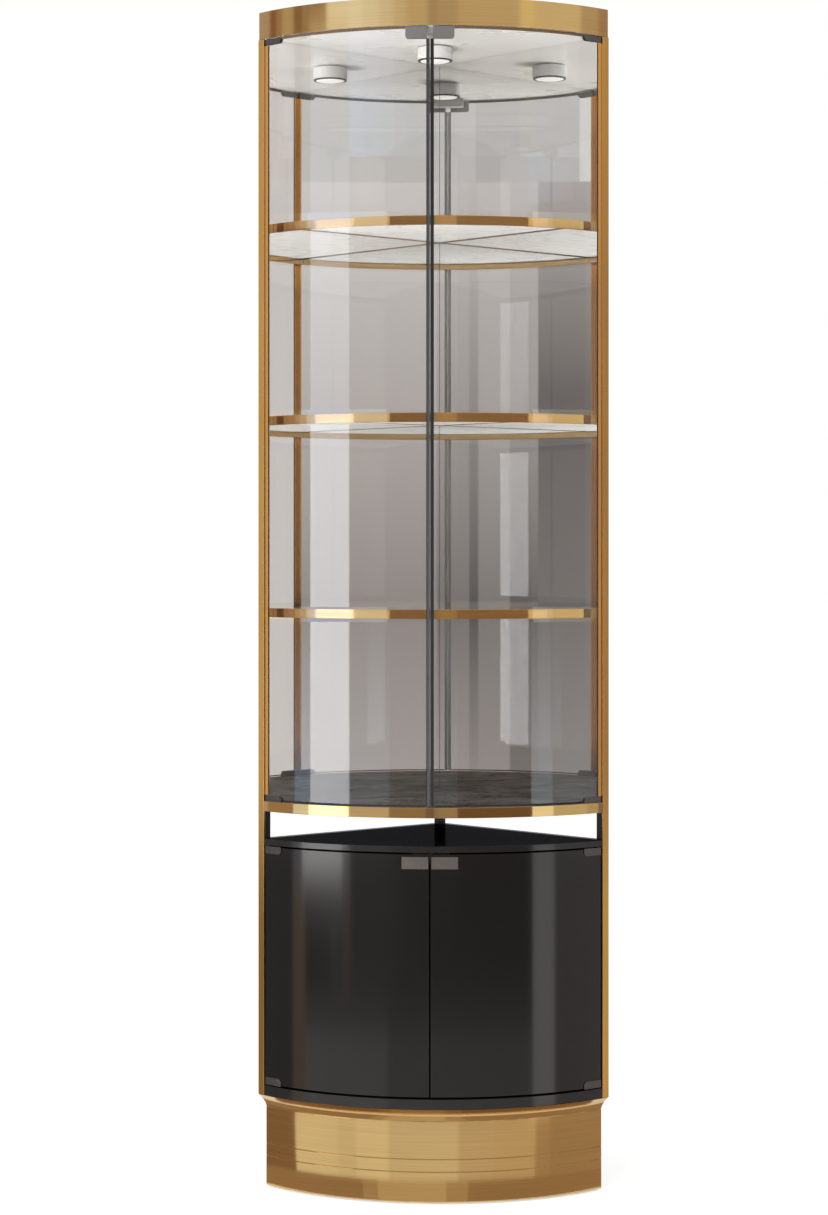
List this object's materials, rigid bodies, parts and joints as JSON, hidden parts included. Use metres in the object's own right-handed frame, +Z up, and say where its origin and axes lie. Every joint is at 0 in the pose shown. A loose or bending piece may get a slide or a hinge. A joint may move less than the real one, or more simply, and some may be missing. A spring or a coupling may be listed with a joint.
{
  "type": "corner display cabinet",
  "caption": "Quarter-circle corner display cabinet: mirrored case with curved glass doors over a gloss black cupboard, framed in brushed gold metal",
  "frame": {"origin": "on the floor, at the middle of the cabinet's bounding box in plan", "axes": "+Z up, the curved front faces -Y, the rear corner points to +Y, +X to the viewer's right"},
  "size_m": [0.5656, 0.4058, 1.9015],
  "materials": {
    "gold_metal": "gold-toned brushed stainless steel, satin to bright",
    "black_board": "gloss black lacquered board",
    "black_glass": "gloss black curved glass, opaque",
    "clear_glass": "clear curved glass",
    "mirror": "plain silvered mirror",
    "dark_stone": "polished dark grey mottled stone-look slab",
    "white_panel": "gloss white panel with faint grey veins",
    "clamp_metal": "dark gunmetal, satin",
    "plate_metal": "nickel grey, brushed",
    "lamp_white": "satin white",
    "lamp_ring": "dark grey satin",
    "lamp_lens": "frosted light diffuser",
    "black_plastic": "matt black",
    "grey_plastic": "matt grey",
    "black_rubber": "matt black"
  },
  "bodies": {
    "cabinet": {"plinth_skirt": "gold_metal", "plinth_back": "black_board", "plinth_board": "black_board", "glide_left": "grey_plastic", "glide_right": "grey_plastic", "glide_rear": "grey_plastic", "glide_front": "grey_plastic", "lower_bottom_panel": "black_board", "lower_top_panel": "black_board", "rear_post": "black_board", "side_post_left": "gold_metal", "lower_post_left": "black_board", "lower_back_left": "black_board", "back_panel_left": "black_board", "mirror_left": "mirror", "side_post_right": "gold_metal", "lower_post_right": "black_board", "lower_back_right": "black_board", "back_panel_right": "black_board", "mirror_right": "mirror", "floor_tray": "gold_metal", "floor_slab": "dark_stone", "shelf_tray_1": "gold_metal", "shelf_rail_1": "gold_metal", "shelf_liner_1": "white_panel", "shelf_tray_2": "gold_metal", "shelf_rail_2": "gold_metal", "shelf_liner_2": "white_panel", "shelf_tray_3": "gold_metal", "shelf_rail_3": "gold_metal", "shelf_liner_3": "white_panel", "crown_cap": "gold_metal", "ceiling_panel": "white_panel", "lamp_driver": "grey_plastic", "cable_gland": "black_rubber", "spotlight_body": "lamp_white", "spotlight_ring": "lamp_ring", "spotlight_lens": "lamp_lens", "glass_latch_body": "black_plastic", "lower_latch_body": "black_plastic"},
    "glass_leaf_left": {"glass_door_left": "clear_glass", "glass_clamp_left_top": "clamp_metal", "glass_clamp_left_bottom": "clamp_metal", "glass_strike_left": "plate_metal"},
    "glass_leaf_right": {"glass_door_right": "clear_glass", "glass_clamp_right_top": "clamp_metal", "glass_clamp_right_bottom": "clamp_metal", "glass_strike_right": "plate_metal"},
    "lower_leaf_left": {"lower_door_left": "black_glass", "lower_clamp_left_top": "clamp_metal", "lower_clamp_left_bottom": "clamp_metal", "lower_strike_left": "plate_metal"},
    "lower_leaf_right": {"lower_door_right": "black_glass", "lower_clamp_right_top": "clamp_metal", "lower_clamp_right_bottom": "clamp_metal", "lower_strike_right": "plate_metal"},
    "glass_push_left": {"glass_plunger_left": "grey_plastic"},
    "glass_push_right": {"glass_plunger_right": "grey_plastic"},
    "lower_push_left": {"lower_plunger_left": "grey_plastic"},
    "lower_push_right": {"lower_plunger_right": "grey_plastic"}
  },
  "joints": [
    {"name": "glass_door_hinge_left", "type": "hinge", "parent": "cabinet", "child": "glass_leaf_left", "pos_m": [-0.26513, -0.09052, 0.6287], "axis": [0, 0, -1], "range_deg": [0, 105]},
    {"name": "glass_door_hinge_right", "type": "hinge", "parent": "cabinet", "child": "glass_leaf_right", "pos_m": [0.26513, -0.09052, 0.6287], "axis": [0, 0, 1], "range_deg": [0, 105]},
    {"name": "lower_door_hinge_left", "type": "hinge", "parent": "cabinet", "child": "lower_leaf_left", "pos_m": [-0.26513, -0.09052, 0.1716], "axis": [0, 0, -1], "range_deg": [0, 105]},
    {"name": "lower_door_hinge_right", "type": "hinge", "parent": "cabinet", "child": "lower_leaf_right", "pos_m": [0.26513, -0.09052, 0.1716], "axis": [0, 0, 1], "range_deg": [0, 105]},
    {"name": "glass_latch_slide_left", "type": "slide", "parent": "cabinet", "child": "glass_push_left", "axis": [0, 1, 0], "range_m": [0, 0.0025], "stiffness_N_per_m": 800},
    {"name": "glass_latch_slide_right", "type": "slide", "parent": "cabinet", "child": "glass_push_right", "axis": [0, 1, 0], "range_m": [0, 0.0025], "stiffness_N_per_m": 800},
    {"name": "lower_latch_slide_left", "type": "slide", "parent": "cabinet", "child": "lower_push_left", "axis": [0, 1, 0], "range_m": [0, 0.0025], "stiffness_N_per_m": 800},
    {"name": "lower_latch_slide_right", "type": "slide", "parent": "cabinet", "child": "lower_push_right", "axis": [0, 1, 0], "range_m": [0, 0.0025], "stiffness_N_per_m": 800}
  ]
}
